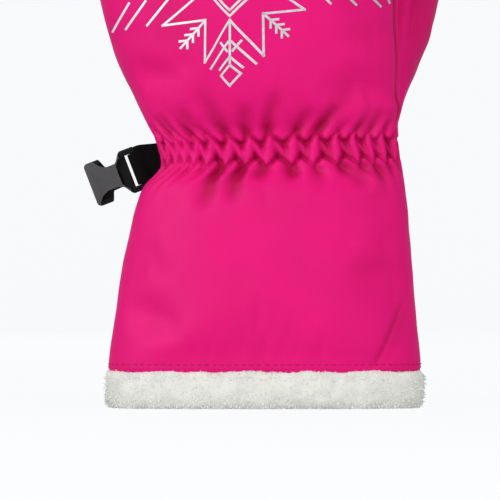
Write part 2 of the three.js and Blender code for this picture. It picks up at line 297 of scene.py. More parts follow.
def unit_ring(count, aspect):
    """Evenly spaced points of a unit superellipse `aspect` times as wide as deep, from the front to +X."""
    angle = np.linspace(-math.pi / 2, 3 * math.pi / 2, 6001)
    ring = np.stack([squared(np.cos(angle), 2 / ROUNDNESS), squared(np.sin(angle), 2 / ROUNDNESS)], 1)
    length = run_length(ring * [aspect, 1])
    return read_at(np.arange(count) / count * length[-1], length, ring).T


COLUMNS = 440
UNIT_X, UNIT_Y = unit_ring(COLUMNS, 3.1)


def round_arc(z):
    """Distance round the mitten at a height, from the middle of the back of the hand, -half to +half."""
    _, _, width, depth = outline(z)
    x, y = width * UNIT_X, depth * UNIT_Y
    step = np.hypot(np.roll(x, -1) - x, np.roll(y, -1) - y)
    arc = np.concatenate([[0], np.cumsum(step)[:-1]])
    return np.where(arc > step.sum() / 2, arc - step.sum(), arc), step.sum()


WRIST = (ROW_LOW + ROW_HIGH) / 2
WRIST_ARC, WRIST_GIRTH = round_arc(WRIST)
WRIST_X = outline(WRIST)[0] + outline(WRIST)[2] * UNIT_X


# ---------------------------------------------------------------- relief of the cloth


def ripple(x, y, z, size, seed):
    """Smooth seeded waves about `size` long, mostly from -1 to 1."""
    waves = random.Random(seed)
    total = 0
    for _ in range(7):
        direction = Vector([waves.gauss(0, 1) for _ in range(3)]).normalized()
        pace = 2 * math.pi / (size * waves.uniform(0.7, 1.5))
        across = direction.x * x + direction.y * y + direction.z * z
        total = total + np.sin(pace * across + waves.uniform(0, 6.28))
    return total / 3.5


def ridge_places():
    """The gathers' ridges round the whole wrist: their places on the upper and the lower row."""
    front = np.argsort(WRIST_ARC)
    front = front[np.abs(WRIST_ARC[front]) < WRIST_GIRTH / 4]
    tops = list(np.interp(RIDGE_TOPS, WRIST_X[front], WRIST_ARC[front]))
    feet = list(np.interp(RIDGE_FEET, WRIST_X[front], WRIST_ARC[front]))
    last = tops[-1]
    rest = WRIST_GIRTH - (last - tops[0])
    more = round(rest / PALM_RIDGE) - 1
    for i in range(more):
        spot = last + rest * (i + 1) / (more + 1)
        tops.append(spot + rng.uniform(-1, 1))
        feet.append(spot + rng.uniform(-2.2, 0.2))
    return np.array(tops), np.array(feet)


def phase(arc, marks, girth):
    """Counts marks round the wrist: a whole number at each."""
    n = len(marks)
    knots = np.concatenate([marks - girth, marks, marks + girth])
    return np.interp(arc, knots, np.arange(-n, 2 * n))


def nearest(value):
    """Distance to the nearest whole number."""
    return np.abs(value - np.round(value))


def dome(distance, half_width):
    """A rounded ridge: 1 along its line, 0 from half_width away."""
    return np.sqrt(np.clip(1 - (distance / np.maximum(half_width, 1e-3)) ** 2, 0, 1))


def fading(distance, reach, loss, loss_end, last, end):
    """What is left of a gather at a distance from its row of stitching, down to none at its end."""
    left = np.exp(-((distance / reach) ** 1.8)) * (1 - loss * step_up(distance, 1, loss_end))
    return left * (1 - step_up(distance, last, end))


def gathers(arc, z, x):
    """Depth of the gathered cloth, 0 on its ridges and 1 in its creases.

    Between the two rows of stitching a fold runs up and down in a zigzag. Tongues of the hand's cloth hang
    down into it from above and teeth of the cuff's cloth stand up into it from below.
    """
    tops, feet = ridge_places()
    low = ROW_LOW + ROW_TILT * x
    high = ROW_HIGH + ROW_TILT * x
    t = (z - low) / (high - low)
    over, under = np.clip(z - high, 0, None), np.clip(low - z, 0, None)
    # Above and below the rows the folds fan out, more steeply away from the middle.
    side = np.cos(np.clip(arc / WRIST_GIRTH, -0.5, 0.5) * math.pi)
    lean_up = 0.85 * np.tanh((arc + 5) / 22) * side
    lean_down = 0.75 * np.tanh((arc + 4) / 20) * side
    source = arc - lean_up * 14 * np.tanh(over / 14) - lean_down * 14 * np.tanh(under / 14)
    at_top = phase(source, tops, WRIST_GIRTH)
    at_foot = phase(source, feet, WRIST_GIRTH) - 0.5
    p = at_foot + (at_top - at_foot) * np.clip(t, 0, 1)
    to_peak, to_dip = nearest(p), nearest(p - 0.5)

    along = 0.5 * np.clip((t + 0.16) / 1.36, 0, 1)
    rising = dome(nearest(p - along - 0.5), 0.33)
    falling = dome(nearest(p + along - 0.5), 0.26) * (0.95 - 0.35 * step_up(arc, -25, 25))
    tongue_width = 0.5 * np.clip((t - 0.8) / 0.42, 0, 1)
    tooth_width = 0.5 * np.clip((0.2 - t) / 0.38, 0, 1)
    fold = np.maximum(rising, falling)
    fold = fold * np.where(t > 0.8, dome(to_peak, 0.5 - tongue_width), 1)
    fold = fold * np.where(t < 0.2, dome(to_dip, 0.5 - tooth_width), 1)
    tongues = dome(to_dip, tongue_width) * np.clip(tongue_width / 0.2, 0, 1)
    teeth = dome(to_peak, tooth_width) * np.clip(tooth_width / 0.2, 0, 1)

    # Away from the rows the creases widen into soft troughs, of uneven length, and die out.
    wide_up, wide_down = step_up(over, 1, 7), step_up(under, 1, 6)
    tongues = tongues * (1 - wide_up) + (0.5 - 0.5 * np.cos(2 * math.pi * p)) * wide_up
    teeth = teeth * (1 - wide_down) + (0.5 + 0.5 * np.cos(2 * math.pi * p)) * wide_down
    palm = step_up(np.abs(arc) / WRIST_GIRTH, 0.22, 0.28)
    reach_up = 8 + 5 * palm - (2 + 3 * palm) * np.cos(math.pi * np.round(p)) + np.sin(2.4 * np.round(p))
    reach_down = 7 + 3 * palm + (2 + 3 * palm) * np.sin(1.9 * np.round(p - 0.5) - 0.7)
    fade_up = fading(over, reach_up, 0.5, 9, 15, GATHERS_UP)
    fade_down = fading(under, reach_down, 0.35, 8, 12, GATHERS_DOWN)
    height = np.maximum(fold, np.maximum(tongues, teeth))

    columns = np.gradient(np.broadcast_to(arc, z.shape), axis=1)
    spacing = 1 / np.clip(np.abs(np.gradient(at_top, axis=1) / np.where(columns == 0, 1, columns)), 0.05, 1)
    size = np.clip(spacing / 8, 0.6, 1.05)
    return (1 - height) * size * fade_up * fade_down


def troughs(x, y, z):
    """Depth of the long soft troughs on the back of the hand."""
    deepest = np.zeros_like(z)
    for far_x, far_z, row_x, row_z, depth in TROUGHS:
        way = np.array([far_x - row_x, far_z - row_z])
        length = np.hypot(*way)
        along = ((x - row_x) * way[0] + (z - row_z) * way[1]) / length**2
        across = ((x - row_x) * way[1] - (z - row_z) * way[0]) / length
        width = 2.4 + 1.6 * np.clip(along, 0, 1)
        trough = depth * hump(across, 0, width) * step_up(along, -0.3, 0.15)
        deepest = np.maximum(deepest, trough * (1 - step_up(along, 0.6, 1.25)))
    return deepest * (y < SEAM_Y)


def panel_seam(z):
    """The seam that joins the back of the hand to the thumb's gusset, just short of the side: 1 along it."""
    across = hump(UNIT_Y, -0.22, 0.07) * (UNIT_X > 0.8)
    return across * step_up(z, 124, 140) * (1 - step_up(z, 222, 245))


def body_relief(x, y, z):
    """How far the cloth of the cuff, hand and fingers stands off the plain outline."""
    arc = np.broadcast_to(WRIST_ARC, z.shape)
    near = (z > ROW_LOW - GATHERS_DOWN - 2) & (z < ROW_HIGH + GATHERS_UP + 2)
    rows = np.flatnonzero(near.any(1))
    band = slice(rows[0], rows[-1] + 1)
    height = np.zeros_like(z)
    height[band] = -GATHER_DEPTH * blurred(gathers(arc[band], z[band], x[band]), 1)
    puffy = step_up(z, 135, 165)
    height += ripple(x, y, z, 46, 3) * (0.35 + 0.5 * puffy)
    height += ripple(x, y, z, 21, 5) * 0.14
    # A soft crease runs up from the hem on the thumb's side.
    (foot_x, foot_z), (head_x, head_z) = CREASE
    past = (x - foot_x) - (z - foot_z) * (head_x - foot_x) / (head_z - foot_z)
    along = step_up(z, 16, 24) * (1 - step_up(z, 40, 56)) * (y < SEAM_Y)
    height -= along * (0.9 * hump(past, 0, 1.6) + 0.5 * hump(past, 3.5, 4))
    # The side seams pull in, less where the wrist is gathered.
    seam = hump(y, SEAM_Y, 1.5) * (np.abs(UNIT_X) > 0.7)
    height -= 0.9 * seam * (1 - 0.6 * step_up(np.abs(z - GATHERS_MIDDLE), 20, 5))
    height -= troughs(x, y, z)
    height -= PANEL_SEAM_DEPTH * panel_seam(z)
    # The hem's topstitching dents the cloth, and its edge tucks into the fur.
    height -= 0.35 * hump(z, HEM_STITCHES, 0.7)
    height -= 1.4 * (1 - step_up(z, HEM - 1.5, HEM + 1.0))
    return height


def body_grid(heights, inset=0.0):
    """Rows of points round the mitten at each height, on its plain outline."""
    return section_grid(heights, outline, UNIT_X, UNIT_Y, inset)


# ---------------------------------------------------------------- meshes


def added(name, data):
    """A new object in the scene."""
    obj = bpy.data.objects.new(name, data)
    bpy.context.scene.collection.objects.link(obj)
    return obj


def smooth(obj):
    """Shades an object smooth."""
    obj.data.polygons.foreach_set("use_smooth", [True] * len(obj.data.polygons))
    return obj


def new_mesh(name, points, faces, material, uv=None):
    """A smooth-shaded object from points in the mitten's millimetres."""
    mesh = bpy.data.meshes.new(name)
    mesh.from_pydata(place(points), [], faces)
    if uv is not None:
        layer = mesh.uv_layers.new(name="weave")
        index = np.empty(len(mesh.loops), int)
        mesh.loops.foreach_get("vertex_index", index)
        layer.data.foreach_set("uv", np.asarray(uv, float)[index].ravel())
    mesh.materials.append(material)
    return smooth(added(name, mesh))


def grid_faces(rows, columns, looped=False):
    """Outward quads between rows of points, closed round the columns and, if looped, over the rows too."""
    r, c = np.meshgrid(np.arange(rows if looped else rows - 1), np.arange(columns), indexing="ij")
    here, above, beside = r * columns, (r + 1) % rows * columns, (c + 1) % columns
    corners = (here + c, here + beside, above + beside, above + c)
    return list(zip(*(corner.ravel().tolist() for corner in corners)))


def cover(name, points, material, tip=False, normals=None, fold=None):
    """A sheet of cloth from a grid of points, closed at the top over a tip if asked."""
    rows, columns, _ = points.shape
    faces = grid_faces(rows, columns)
    flat = points.reshape(-1, 3)
    girth = np.linalg.norm(np.roll(points, -1, 1) - points, axis=2)
    across = np.cumsum(girth, 1) - girth
    uv = np.stack([across.ravel(), flat[:, 2]], 1)
    if tip:
        last = (rows - 1) * columns
        flat = np.concatenate([flat, points[-1].mean(0, keepdims=True) + [[0, 0, 0.15]]])
        uv = np.concatenate([uv, [[0, flat[-1, 2]]]])
        faces += [(last + i, last + (i + 1) % columns, len(flat) - 1) for i in range(columns)]
    obj = new_mesh(name, flat, faces, material, uv)
    if normals is not None:
        whole = normals.reshape(-1, 3)
        if tip:
            whole = np.concatenate([whole, [[0, 0, 1]]])
        obj.data.normals_split_custom_set_from_vertices([tuple(n) for n in whole])
    # The fold attribute carries painted shade: how far the cloth's colour is darkened towards a deeper pink.
    if fold is not None:
        layer = obj.data.attributes.new("fold", "FLOAT", "POINT")
        layer.data.foreach_set("value", np.append(fold.ravel(), [0] * tip).astype(np.float32))
    return obj


def swept(path, radius, sides):
    """A round thread or bar along a list of points, closed at both ends."""
    path = np.asarray(path, float)
    way = unit(np.gradient(path, axis=0))
    aside = unit(np.cross(way, [0.13, 0.21, 0.97]))
    other = np.cross(way, aside)
    turn = np.arange(sides) * 2 * math.pi / sides
    radius = np.broadcast_to(radius, len(path))
    ring = np.cos(turn)[None, :, None] * aside[:, None] + np.sin(turn)[None, :, None] * other[:, None]
    points = (path[:, None] + ring * radius[:, None, None]).reshape(-1, 3)
    ends = [tuple(reversed(range(sides))), tuple(range(len(points) - sides, len(points)))]
    return points, grid_faces(len(path), sides) + ends


def joined(name, parts, material):
    """One object from several lists of points and faces."""
    points, faces, start = [], [], 0
    for p, f in parts:
        points.append(np.asarray(p))
        faces += [tuple(i + start for i in face) for face in f]
        start += len(p)
    return new_mesh(name, np.concatenate(points), faces, material)


def apply_modifiers(obj):
    """Puts the evaluated mesh in the place of an object's own."""
    bpy.context.view_layer.update()
    result = bpy.data.meshes.new_from_object(obj.evaluated_get(bpy.context.evaluated_depsgraph_get()))
    obj.modifiers.clear()
    obj.data = result


def surface_tree(*objects):
    """A tree for finding points on the surfaces of some objects."""
    vertices, polygons = [], []
    for obj in objects:
        start = len(vertices)
        vertices += [v.co.copy() for v in obj.data.vertices]
        polygons += [[i + start for i in p.vertices] for p in obj.data.polygons]
    return BVHTree.FromPolygons(vertices, polygons)


OUTSIDE = 120  # further from the wrist's axis than any cloth


def dropped(tree, x, z, side, lift):
    """The point on a surface seen from the back of the hand (side -1) or the palm (side 1), lifted off it."""
    start = Vector(place([x, side * OUTSIDE, z]))
    spot, normal, _, _ = tree.ray_cast(start, Vector((0, -side, 0)))
    if spot is None:
        spot, normal, _, _ = tree.find_nearest(start)
    return measure(spot + normal * lift * MM)


# ---------------------------------------------------------------- materials


class Paint:
    """Builds a node material around one Principled shader."""

    def __init__(self, name, colour, roughness, metallic=0.0):
        self.own = colour
        self.material = bpy.data.materials.new(name)
        self.material.use_nodes = True
        self.tree = self.material.node_tree
        self.height = None
        self.set(Base_Color=(*colour, 1), Roughness=roughness, Metallic=metallic)
        self.place = self.node("ShaderNodeTexCoord", "Object")
        self.weave_uv = self.node("ShaderNodeTexCoord", "UV")

    def fill(self, node, inputs):
        """Sets a node's inputs to values, or links them to outputs of other nodes."""
        for key, value in inputs.items():
            if isinstance(value, bpy.types.NodeSocket):
                self.tree.links.new(value, node.inputs[key])
            else:
                node.inputs[key].default_value = value

    def set(self, **inputs):
        """Sets or links inputs of the shader."""
        self.fill(self.tree.nodes["Principled BSDF"], {k.replace("_", " "): v for k, v in inputs.items()})

    def node(self, kind, output, inputs=None, **properties):
        """One output of a new node."""
        made = self.tree.nodes.new(kind)
        for key, value in properties.items():
            setattr(made, key, value)
        self.fill(made, inputs or {})
        return made.outputs[output]

    def noise(self, scale, detail=3.0, roughness=0.55):
        inputs = {"Scale": scale, "Detail": detail, "Roughness": roughness, "Vector": self.place}
        return self.node("ShaderNodeTexNoise", "Fac", inputs)

    def wave(self, scale, direction, source=None):
        inputs = {"Scale": scale, "Vector": source or self.place}
        return self.node("ShaderNodeTexWave", "Fac", inputs, bands_direction=direction)

    def along(self, axis):
        return self.node("ShaderNodeSeparateXYZ", axis, {0: self.place})

    def maths(self, operation, a, b):
        return self.node("ShaderNodeMath", 0, {0: a, 1: b}, operation=operation)

    def fitted(self, value, gain, offset):
        """A value times a gain, plus an offset."""
        return self.maths("ADD", self.maths("MULTIPLY", value, gain), offset)

    def attribute(self, name):
        return self.node("ShaderNodeAttribute", "Fac", attribute_name=name)

    def mixed(self, factor, first, second):
        return self.node("ShaderNodeMix", 2, {0: factor, 6: first, 7: (*second, 1)}, data_type="RGBA")

    def ramp(self, factor, *stops):
        """A factor as a colour, going from the first of two stops to the second."""
        made = self.tree.nodes.new("ShaderNodeValToRGB")
        for element, (position, colour) in zip(made.color_ramp.elements, stops):
            element.position = position
            element.color = (*colour, 1)
        self.fill(made, {"Fac": factor})
        return made.outputs["Color"]

    def shades(self, factor, *stops):
        """The paint's own colour, made darker or lighter by the gain at each of two stops."""
        return self.ramp(factor, *[(position, tuple(c * gain for c in self.own)) for position, gain in stops])

    def bump(self, output, strength, distance):
        """Adds relief to the shader."""
        inputs = {"Strength": strength, "Distance": distance, "Height": output}
        if self.height is not None:
            inputs["Normal"] = self.height
        self.height = self.node("ShaderNodeBump", "Normal", inputs)
        self.set(Normal=self.height)


def linear(*screen):
    """Screen colour values, 0 to 255, as linear ones."""
    return tuple(((v / 255 + 0.055) / 1.055) ** 2.4 if v > 10 else v / 255 / 12.92 for v in screen)


PINK = linear(227, 4, 116)
# The deeper pink that the cloth's painted shade mixes towards.
PINK_PAINTED_SHADE = linear(176, 0, 72)


def shell_cloth():
    """Pink woven polyester: a fine crossed weave, slight colour drift and a soft sheen."""
    paint = Paint("shell_cloth", PINK, 0.6)
    warp = paint.wave(1.35, "X", paint.weave_uv)
    weft = paint.wave(1.35, "Y", paint.weave_uv)
    weave = paint.maths("MULTIPLY", warp, weft)
    drift = paint.noise(26, 4)
    speck = paint.noise(900, 2)
    tone = paint.fitted(drift, 0.7, paint.maths("MULTIPLY", speck, 0.3))
    tones = paint.shades(tone, (0.3, 0.92), (0.7, 1.06))
    # Painted shade: the fold attribute mixes the colour towards a deeper pink where the cloth lies in shade.
    paint.set(Base_Color=paint.mixed(paint.attribute("fold"), tones, PINK_PAINTED_SHADE))
    paint.set(Roughness=paint.fitted(speck, 0.14, 0.53))
    paint.bump(weave, 0.12, 0.00012)
    paint.bump(speck, 0.1, 0.0002)
    paint.set(Sheen_Weight=0.04, Sheen_Roughness=0.4, Sheen_Tint=(1.0, 0.62, 0.8, 1))
    paint.set(Specular_IOR_Level=0.26, Specular_Tint=(1.0, 0.85, 0.95, 1))
    return paint.material


def thread_paint(name, colour):
    paint = Paint(name, colour, 0.55)
    twist = paint.wave(700, "DIAGONAL")
    paint.set(Base_Color=paint.shades(twist, (0.2, 0.75), (0.8, 1.1)))
    paint.bump(twist, 0.3, 0.0002)
    return paint.material


def fur_paint(name, bright):
    paint = Paint(name, bright, 0.95)
    paint.set(Base_Color=paint.shades(paint.noise(160, 4), (0.32, 0.86), (0.6, 1)))
    # A little light of its own stands in for what passes through the pile.
    paint.set(Emission_Color=(*bright, 1), Emission_Strength=0.1)
    paint.set(Sheen_Weight=0.3, Sheen_Roughness=0.6, Specular_IOR_Level=0.1)
    paint.bump(paint.noise(900, 3), 0.3, 0.0004)
    return paint.material


def fleece_paint():
    paint = Paint("fleece", linear(214, 176, 192), 0.95)
    curl = paint.noise(420, 5, 0.7)
    paint.set(Base_Color=paint.shades(curl, (0.3, 0.72), (0.65, 1)))
    paint.set(Sheen_Weight=0.5, Sheen_Roughness=0.6, Specular_IOR_Level=0.1)
    paint.bump(curl, 0.7, 0.0015)
    return paint.material


def webbing_paint():
    paint = Paint("webbing_weave", linear(14, 10, 11), 0.75)
    rib = paint.wave(1.1, "Y", paint.weave_uv)
    cross = paint.wave(0.62, "DIAGONAL", paint.weave_uv)
    weave = paint.maths("MULTIPLY", rib, cross)
    paint.set(Base_Color=paint.shades(weave, (0.1, 0.45), (0.8, 1.7)))
    paint.bump(weave, 0.6, 0.0004)
    paint.set(Specular_IOR_Level=0.12)
    return paint.material


def plastic_paint(name, colour):
    paint = Paint(name, colour, 0.42)
    grain = paint.noise(2600, 2)
    paint.set(Base_Color=paint.shades(paint.noise(120), (0.3, 0.85), (0.7, 1.1)))
    paint.set(Roughness=paint.fitted(grain, 0.18, 0.33))
    paint.bump(grain, 0.25, 0.0001)
    paint.set(Specular_IOR_Level=0.2)
    return paint.material


def foil_paint():
    """Silver heat-pressed foil: bright, a little crinkled, thinned here and there, and greyer towards the
    thumb's side.
    """
    colour = linear(240, 238, 242)
    paint = Paint("silver_foil", colour, 0.38, 0.35)
    wear = paint.noise(240, 5, 0.7)
    greyer_to_thumb = paint.fitted(paint.along("X"), 6, wear)
    paint.set(Base_Color=paint.ramp(greyer_to_thumb, (0.3, colour), (0.75, linear(196, 194, 200))))
    paint.set(Roughness=paint.fitted(wear, 0.25, 0.26))
    paint.bump(paint.noise(700), 0.35, 0.0002)
    return paint.material


def leather_paint():
    paint = Paint("grip_leather", linear(40, 40, 44), 0.6)
    inputs = {"Scale": 520, "Vector": paint.place}
    cells = paint.node("ShaderNodeTexVoronoi", "Distance", inputs, feature="DISTANCE_TO_EDGE")
    paint.set(Base_Color=paint.shades(paint.noise(60, 4), (0.3, 0.8), (0.7, 1.2)))
    paint.bump(cells, 0.5, 0.0004)
    return paint.material


CLOTH = shell_cloth()
THREAD = thread_paint("pink_thread", linear(186, 10, 92))
BLACK_THREAD = thread_paint("black_thread", linear(34, 34, 36))
FUR = fur_paint("fur_pile", linear(229, 229, 222))
FUR_ROOT = fur_paint("fur_backing", linear(221, 221, 213))
FLEECE = fleece_paint()
WEBBING = webbing_paint()
# Painted light and shade: one plastic in two copies, a grey one whose lighter colour stands in for the front
# plate's highlight, and a near-black one that stands in for the shade on every other face and on the bar.
BUCKLE_PAINTED_LIGHT = plastic_paint("buckle_plastic", linear(76, 76, 77))
BUCKLE_PAINTED_SHADE = plastic_paint("buckle_plastic_painted_shade", linear(15, 14, 15))
FOIL_PAINT = foil_paint()
LEATHER = leather_paint()


# ---------------------------------------------------------------- the wadding's push on the cloth


def simulated(grid, pins):
    """How far a coarse closed grid of cloth swells under pressure from inside, along its normals."""
    rows, columns, _ = grid.shape
    ends = np.stack([grid[0].mean(0), grid[-1].mean(0)])
    points = np.concatenate([grid.reshape(-1, 3), ends])
    faces = grid_faces(rows, columns)
    last = (rows - 1) * columns
    faces += [((i + 1) % columns, i, len(points) - 2) for i in range(columns)]
    faces += [(last + i, last + (i + 1) % columns, len(points) - 1) for i in range(columns)]
    obj = new_mesh("cloth_trial", points, faces, CLOTH)
    group = obj.vertex_groups.new(name="pins")
    for index, weight in enumerate(np.append(pins.ravel(), [1, 1])):
        group.add([index], float(weight), "REPLACE")
    modifier = obj.modifiers.new("cloth", "CLOTH")
    cloth = modifier.settings
    cloth.quality = 6
    cloth.mass = 0.3
    cloth.tension_stiffness = cloth.compression_stiffness = 8
    cloth.bending_stiffness = 0.4
    cloth.use_pressure = True
    cloth.uniform_pressure_force = 4
    cloth.shrink_min = -0.03
    cloth.vertex_group_mass = "pins"
    cloth.effector_weights.gravity = 0
    modifier.collision_settings.use_collision = False
    modifier.point_cache.frame_end = CLOTH_FRAMES
    scene = bpy.context.scene
    for frame_number in range(1, CLOTH_FRAMES + 1):
        scene.frame_set(frame_number)
    apply_modifiers(obj)
    moved = measure([v.co for v in obj.data.vertices])[: rows * columns].reshape(grid.shape)
    bpy.data.objects.remove(obj)
    scene.frame_set(1)
    return np.sum((moved - grid) * grid_normals(grid), 2)


def swelling(fine_heights):
    """The simulated swelling of the cuff, hand and fingers, on the fine grid of the cover."""
    closing = closing_heights(TIP_START, FINGERTIP, 0.12, 1.4, 11)
    heights = np.concatenate([np.arange(HEM, TIP_START, 4.5), closing])
    every = 5  # columns of the cover to one of the trial's
    grid = body_grid(heights)[:, ::every]
    z, y = grid[..., 2], grid[..., 1]
    held = np.zeros(z.shape)
    held[z < HEM + 5] = 1
    held[(z > ROW_LOW - 3) & (z < ROW_HIGH + 3)] = 1
    held = np.maximum(held, 0.5 * hump(y, SEAM_Y, 5) * (np.abs(UNIT_X[::every]) > 0.7))
    held[-2:] = 1
    rise = simulated(grid, held)
    # The outline already has the mitten's fullness, so most of the even part of the swelling is left out,
    # and the edges seen from the back of the hand stay near the outline.
    even = blurred(rise, 40)
    edge = step_up(np.abs(UNIT_X[::every]), 0.75, 0.97)
    rise = np.clip((rise - 0.75 * even) * (1 - 0.7 * edge), -SWELL_LIMIT, SWELL_LIMIT)
    spots = np.arange(COLUMNS) / every
    wide = np.stack([np.interp(spots, np.arange(len(r) + 1), np.append(r, r[0])) for r in rise])
    even_heights = np.arange(HEM - 2, FINGERTIP + 1, 0.5)
    dense = smoothed(read_at(even_heights, heights, wide), 5)
    return blurred(read_at(fine_heights, even_heights, dense), 4)


# ---------------------------------------------------------------- covers of the cuff, hand and fingers


CUFF_HEIGHTS = np.arange(HEM - 1.5, FINE_FROM, 1.3)
GATHERED_HEIGHTS = np.arange(FINE_FROM, FINE_TO, 0.55)
HAND_HEIGHTS = [*np.arange(FINE_TO, BODY_SPLIT, 1.2), BODY_SPLIT]
LOWER_HEIGHTS = np.concatenate([CUFF_HEIGHTS, GATHERED_HEIGHTS, HAND_HEIGHTS])
UPPER_HEIGHTS = np.arange(BODY_SPLIT + 1.2, TIP_START, 1.5)
TIP_HEIGHTS = closing_heights(TIP_START, FINGERTIP, 0, 1.53, 34)
BODY_HEIGHTS = np.concatenate([LOWER_HEIGHTS, UPPER_HEIGHTS, TIP_HEIGHTS])


def body_covers():
    """The shell of the cuff and lower hand, and that of the upper hand and fingers."""
    plain = body_grid(BODY_HEIGHTS)
    relief = body_relief(*np.moveaxis(plain, 2, 0))
    points = raised(plain, relief + swelling(BODY_HEIGHTS))
    normals = grid_normals(points)
    # Painted shade: the colour darkens wherever the cloth sinks below its outline, in the gathers' creases,
    # the seams, the troughs and where the hem tucks into the fur, and more along the panel seam and the
    # troughs.
    fold = np.clip(-1.9 * relief / GATHER_DEPTH - 0.22, 0, 1)
    fold = np.maximum(fold, 1.2 * panel_seam(plain[..., 2])).clip(0, 1)
    fold = np.maximum(fold, 0.34 * troughs(*np.moveaxis(plain, 2, 0)))
    below, above = slice(0, len(LOWER_HEIGHTS)), slice(len(LOWER_HEIGHTS) - 1, None)
    low = cover("mitten_cover_lower", points[below], CLOTH, False, normals[below], fold[below])
    high = cover("mitten_cover_upper", points[above], CLOTH, True, normals[above], fold[above])
    return low, high, points


lower_cover, upper_cover, BODY = body_covers()
body_tree = surface_tree(lower_cover, upper_cover)


# ---------------------------------------------------------------- thumb


THUMB_FOOT, THUMB_TIP_START = THUMB_SECTIONS[0][0], THUMB_SECTIONS[-1][0]
THUMB_LEVELS = np.arange(THUMB_FOOT, THUMB_TIP_START + 0.5, 1.0)
THUMB_KNOTS = np.array(THUMB_SECTIONS, float)
THUMB_OUTLINE = smoothed(read_at(THUMB_LEVELS, THUMB_KNOTS[:, 0], THUMB_KNOTS[:, 1:]), 5)


def thumb_outline(z):
    """Middle and half size of the thumb's section at each height."""
    x, y, width, depth = columns_at(z, THUMB_LEVELS, THUMB_OUTLINE)
    share, closing = closing_share(z, THUMB_TIP_START, THUMB_TIP)
    x = x + share * (THUMB_TIP_MIDDLE[0] - x)
    y = y + share * (THUMB_TIP_MIDDLE[1] - y)
    return x, y, width * closing, depth * closing


def gusset_x(z):
    """Where the seam between the thumb and the gusset beside the hand runs, on the thumb's front."""
    return 63.5 + (z - 150) * 0.1


THUMB_COLUMNS = 150
THUMB_UNIT_X, THUMB_UNIT_Y = unit_ring(THUMB_COLUMNS, 1.2)


def thumb_grid(inset=0.0):
    """Rows of points round the thumb at each height, on its plain outline."""
    closing = closing_heights(THUMB_TIP_START, THUMB_TIP - inset, 0, 1.52, 26)
    heights = np.concatenate([np.arange(THUMB_FOOT, THUMB_TIP_START, 1.1), closing])
    return section_grid(heights, thumb_outline, THUMB_UNIT_X, THUMB_UNIT_Y, inset)


def thumb_cloth():
    """The thumb's finished cloth, with its seams drawn in."""
    points = thumb_grid()
    x, y, z = np.moveaxis(points, 2, 0)
    height = ripple(x, y, z, 30, 11) * 0.5 + ripple(x, y, z, 13, 12) * 0.2
    seam = hump(THUMB_UNIT_Y, 0, 0.06) * (np.abs(THUMB_UNIT_X) > 0.5)
    gusset = hump(x, gusset_x(z), 0.8) * (y < thumb_outline(z)[1])
    return raised(points, height - 0.35 * seam - 0.9 * gusset)


def inside_body(points, depth):
    """True where a point is deeper than `depth` inside the mitten's own outline."""
    cx, cy, width, half = outline(points[..., 2])
    x = np.abs(points[..., 0] - cx) / np.maximum(width - depth, 1)
    y = np.abs(points[..., 1] - cy) / np.maximum(half - depth, 1)
    return x**ROUNDNESS + y**ROUNDNESS < 1


def trimmed(obj, depth):
    """Cuts away the part of a piece that is buried deeper than `depth` in the hand."""
    co = np.array([measure(v.co) for v in obj.data.vertices])
    buried = inside_body(co, depth)
    bm = bmesh.new()
    bm.from_mesh(obj.data)
    bm.verts.ensure_lookup_table()
    doomed = [f for f in bm.faces if all(buried[v.index] for v in f.verts)]
    bmesh.ops.delete(bm, geom=doomed, context="FACES")
    bm.to_mesh(obj.data)
    bm.free()
    return smooth(obj)


THUMB = thumb_cloth()
# Painted shade: the thumb's cloth beyond the gusset seam, set back and turned away from the key light, is
# darkened through its fold attribute.
shade = 0.35 * step_up(THUMB[..., 0] - gusset_x(THUMB[..., 2]), 0, 3) * step_up(THUMB[..., 2], 140, 160)
thumb_cover = trimmed(cover("thumb_cover", THUMB, CLOTH, tip=True, fold=shade), 7)
thumb_tree = surface_tree(thumb_cover)


# ---------------------------------------------------------------- lining

lining_tip = closing_heights(TIP_START, FINGERTIP - 10, 0, 1.5, 16)
lining_heights = np.concatenate([np.arange(HEM + 0.2, TIP_START, 3.0), lining_tip])


def lining_points():
    """The lining of the cuff, hand and fingers, a little uneven."""
    points = body_grid(lining_heights, LINING_INSET)[:, ::4]
    return raised(points, ripple(*np.moveaxis(points, 2, 0), 16, 21) * 0.5)


lining_grid = lining_points()
lining_split = int(np.searchsorted(lining_heights, BODY_SPLIT))
lower_lining = cover("lining_lower", lining_grid[: lining_split + 1], FLEECE)
upper_lining = cover("lining_upper", lining_grid[lining_split:], FLEECE, tip=True)
thumb_lining = cover("lining_thumb", thumb_grid(LINING_INSET)[4:, ::3], FLEECE, tip=True)
thumb_lining = trimmed(thumb_lining, LINING_INSET + 4.8)


# ---------------------------------------------------------------- fur trim

FUR_OUT = 0.9  # how far the trim's backing stands proud of the cuff
FUR_IN = 9.6
FUR_LOW = 0.12  # the tufts stay above this
TUFTS = 18000


def fur_section():
    """The trim's cross-section: a fat rounded band, as (outwards, up)."""
    count = 30
    turn = np.arange(count) * 2 * math.pi / count
    half_width, half_height = (FUR_OUT + FUR_IN) / 2, (FUR_TOP - 0.4) / 2
    # The lower outer corner is the softest.
    power = np.where((np.cos(turn) > 0) & (np.sin(turn) < 0), 0.85, 0.5)
    out = squared(np.cos(turn), power) * half_width + (FUR_OUT - FUR_IN) / 2
    up = squared(np.sin(turn), power) * half_height + FUR_TOP / 2
    return out, up


def fur_grid():
    """The trim's cross-section carried round the hem: a row of points for each point of the section."""
    out, up = fur_section()
    cx, cy, width, depth = outline(HEM + 1)
    ux, uy = unit_ring(COLUMNS // 2, 3.0)
    rim = np.stack([cx + width * ux, cy + depth * uy], 1)
    way = np.roll(rim, -1, 0) - np.roll(rim, 1, 0)
    normal = unit(np.stack([way[:, 1], -way[:, 0]], 1))
    flat = rim[None] + out[:, None, None] * normal[None]
    return np.dstack([flat, up[:, None] * np.ones(len(rim))])


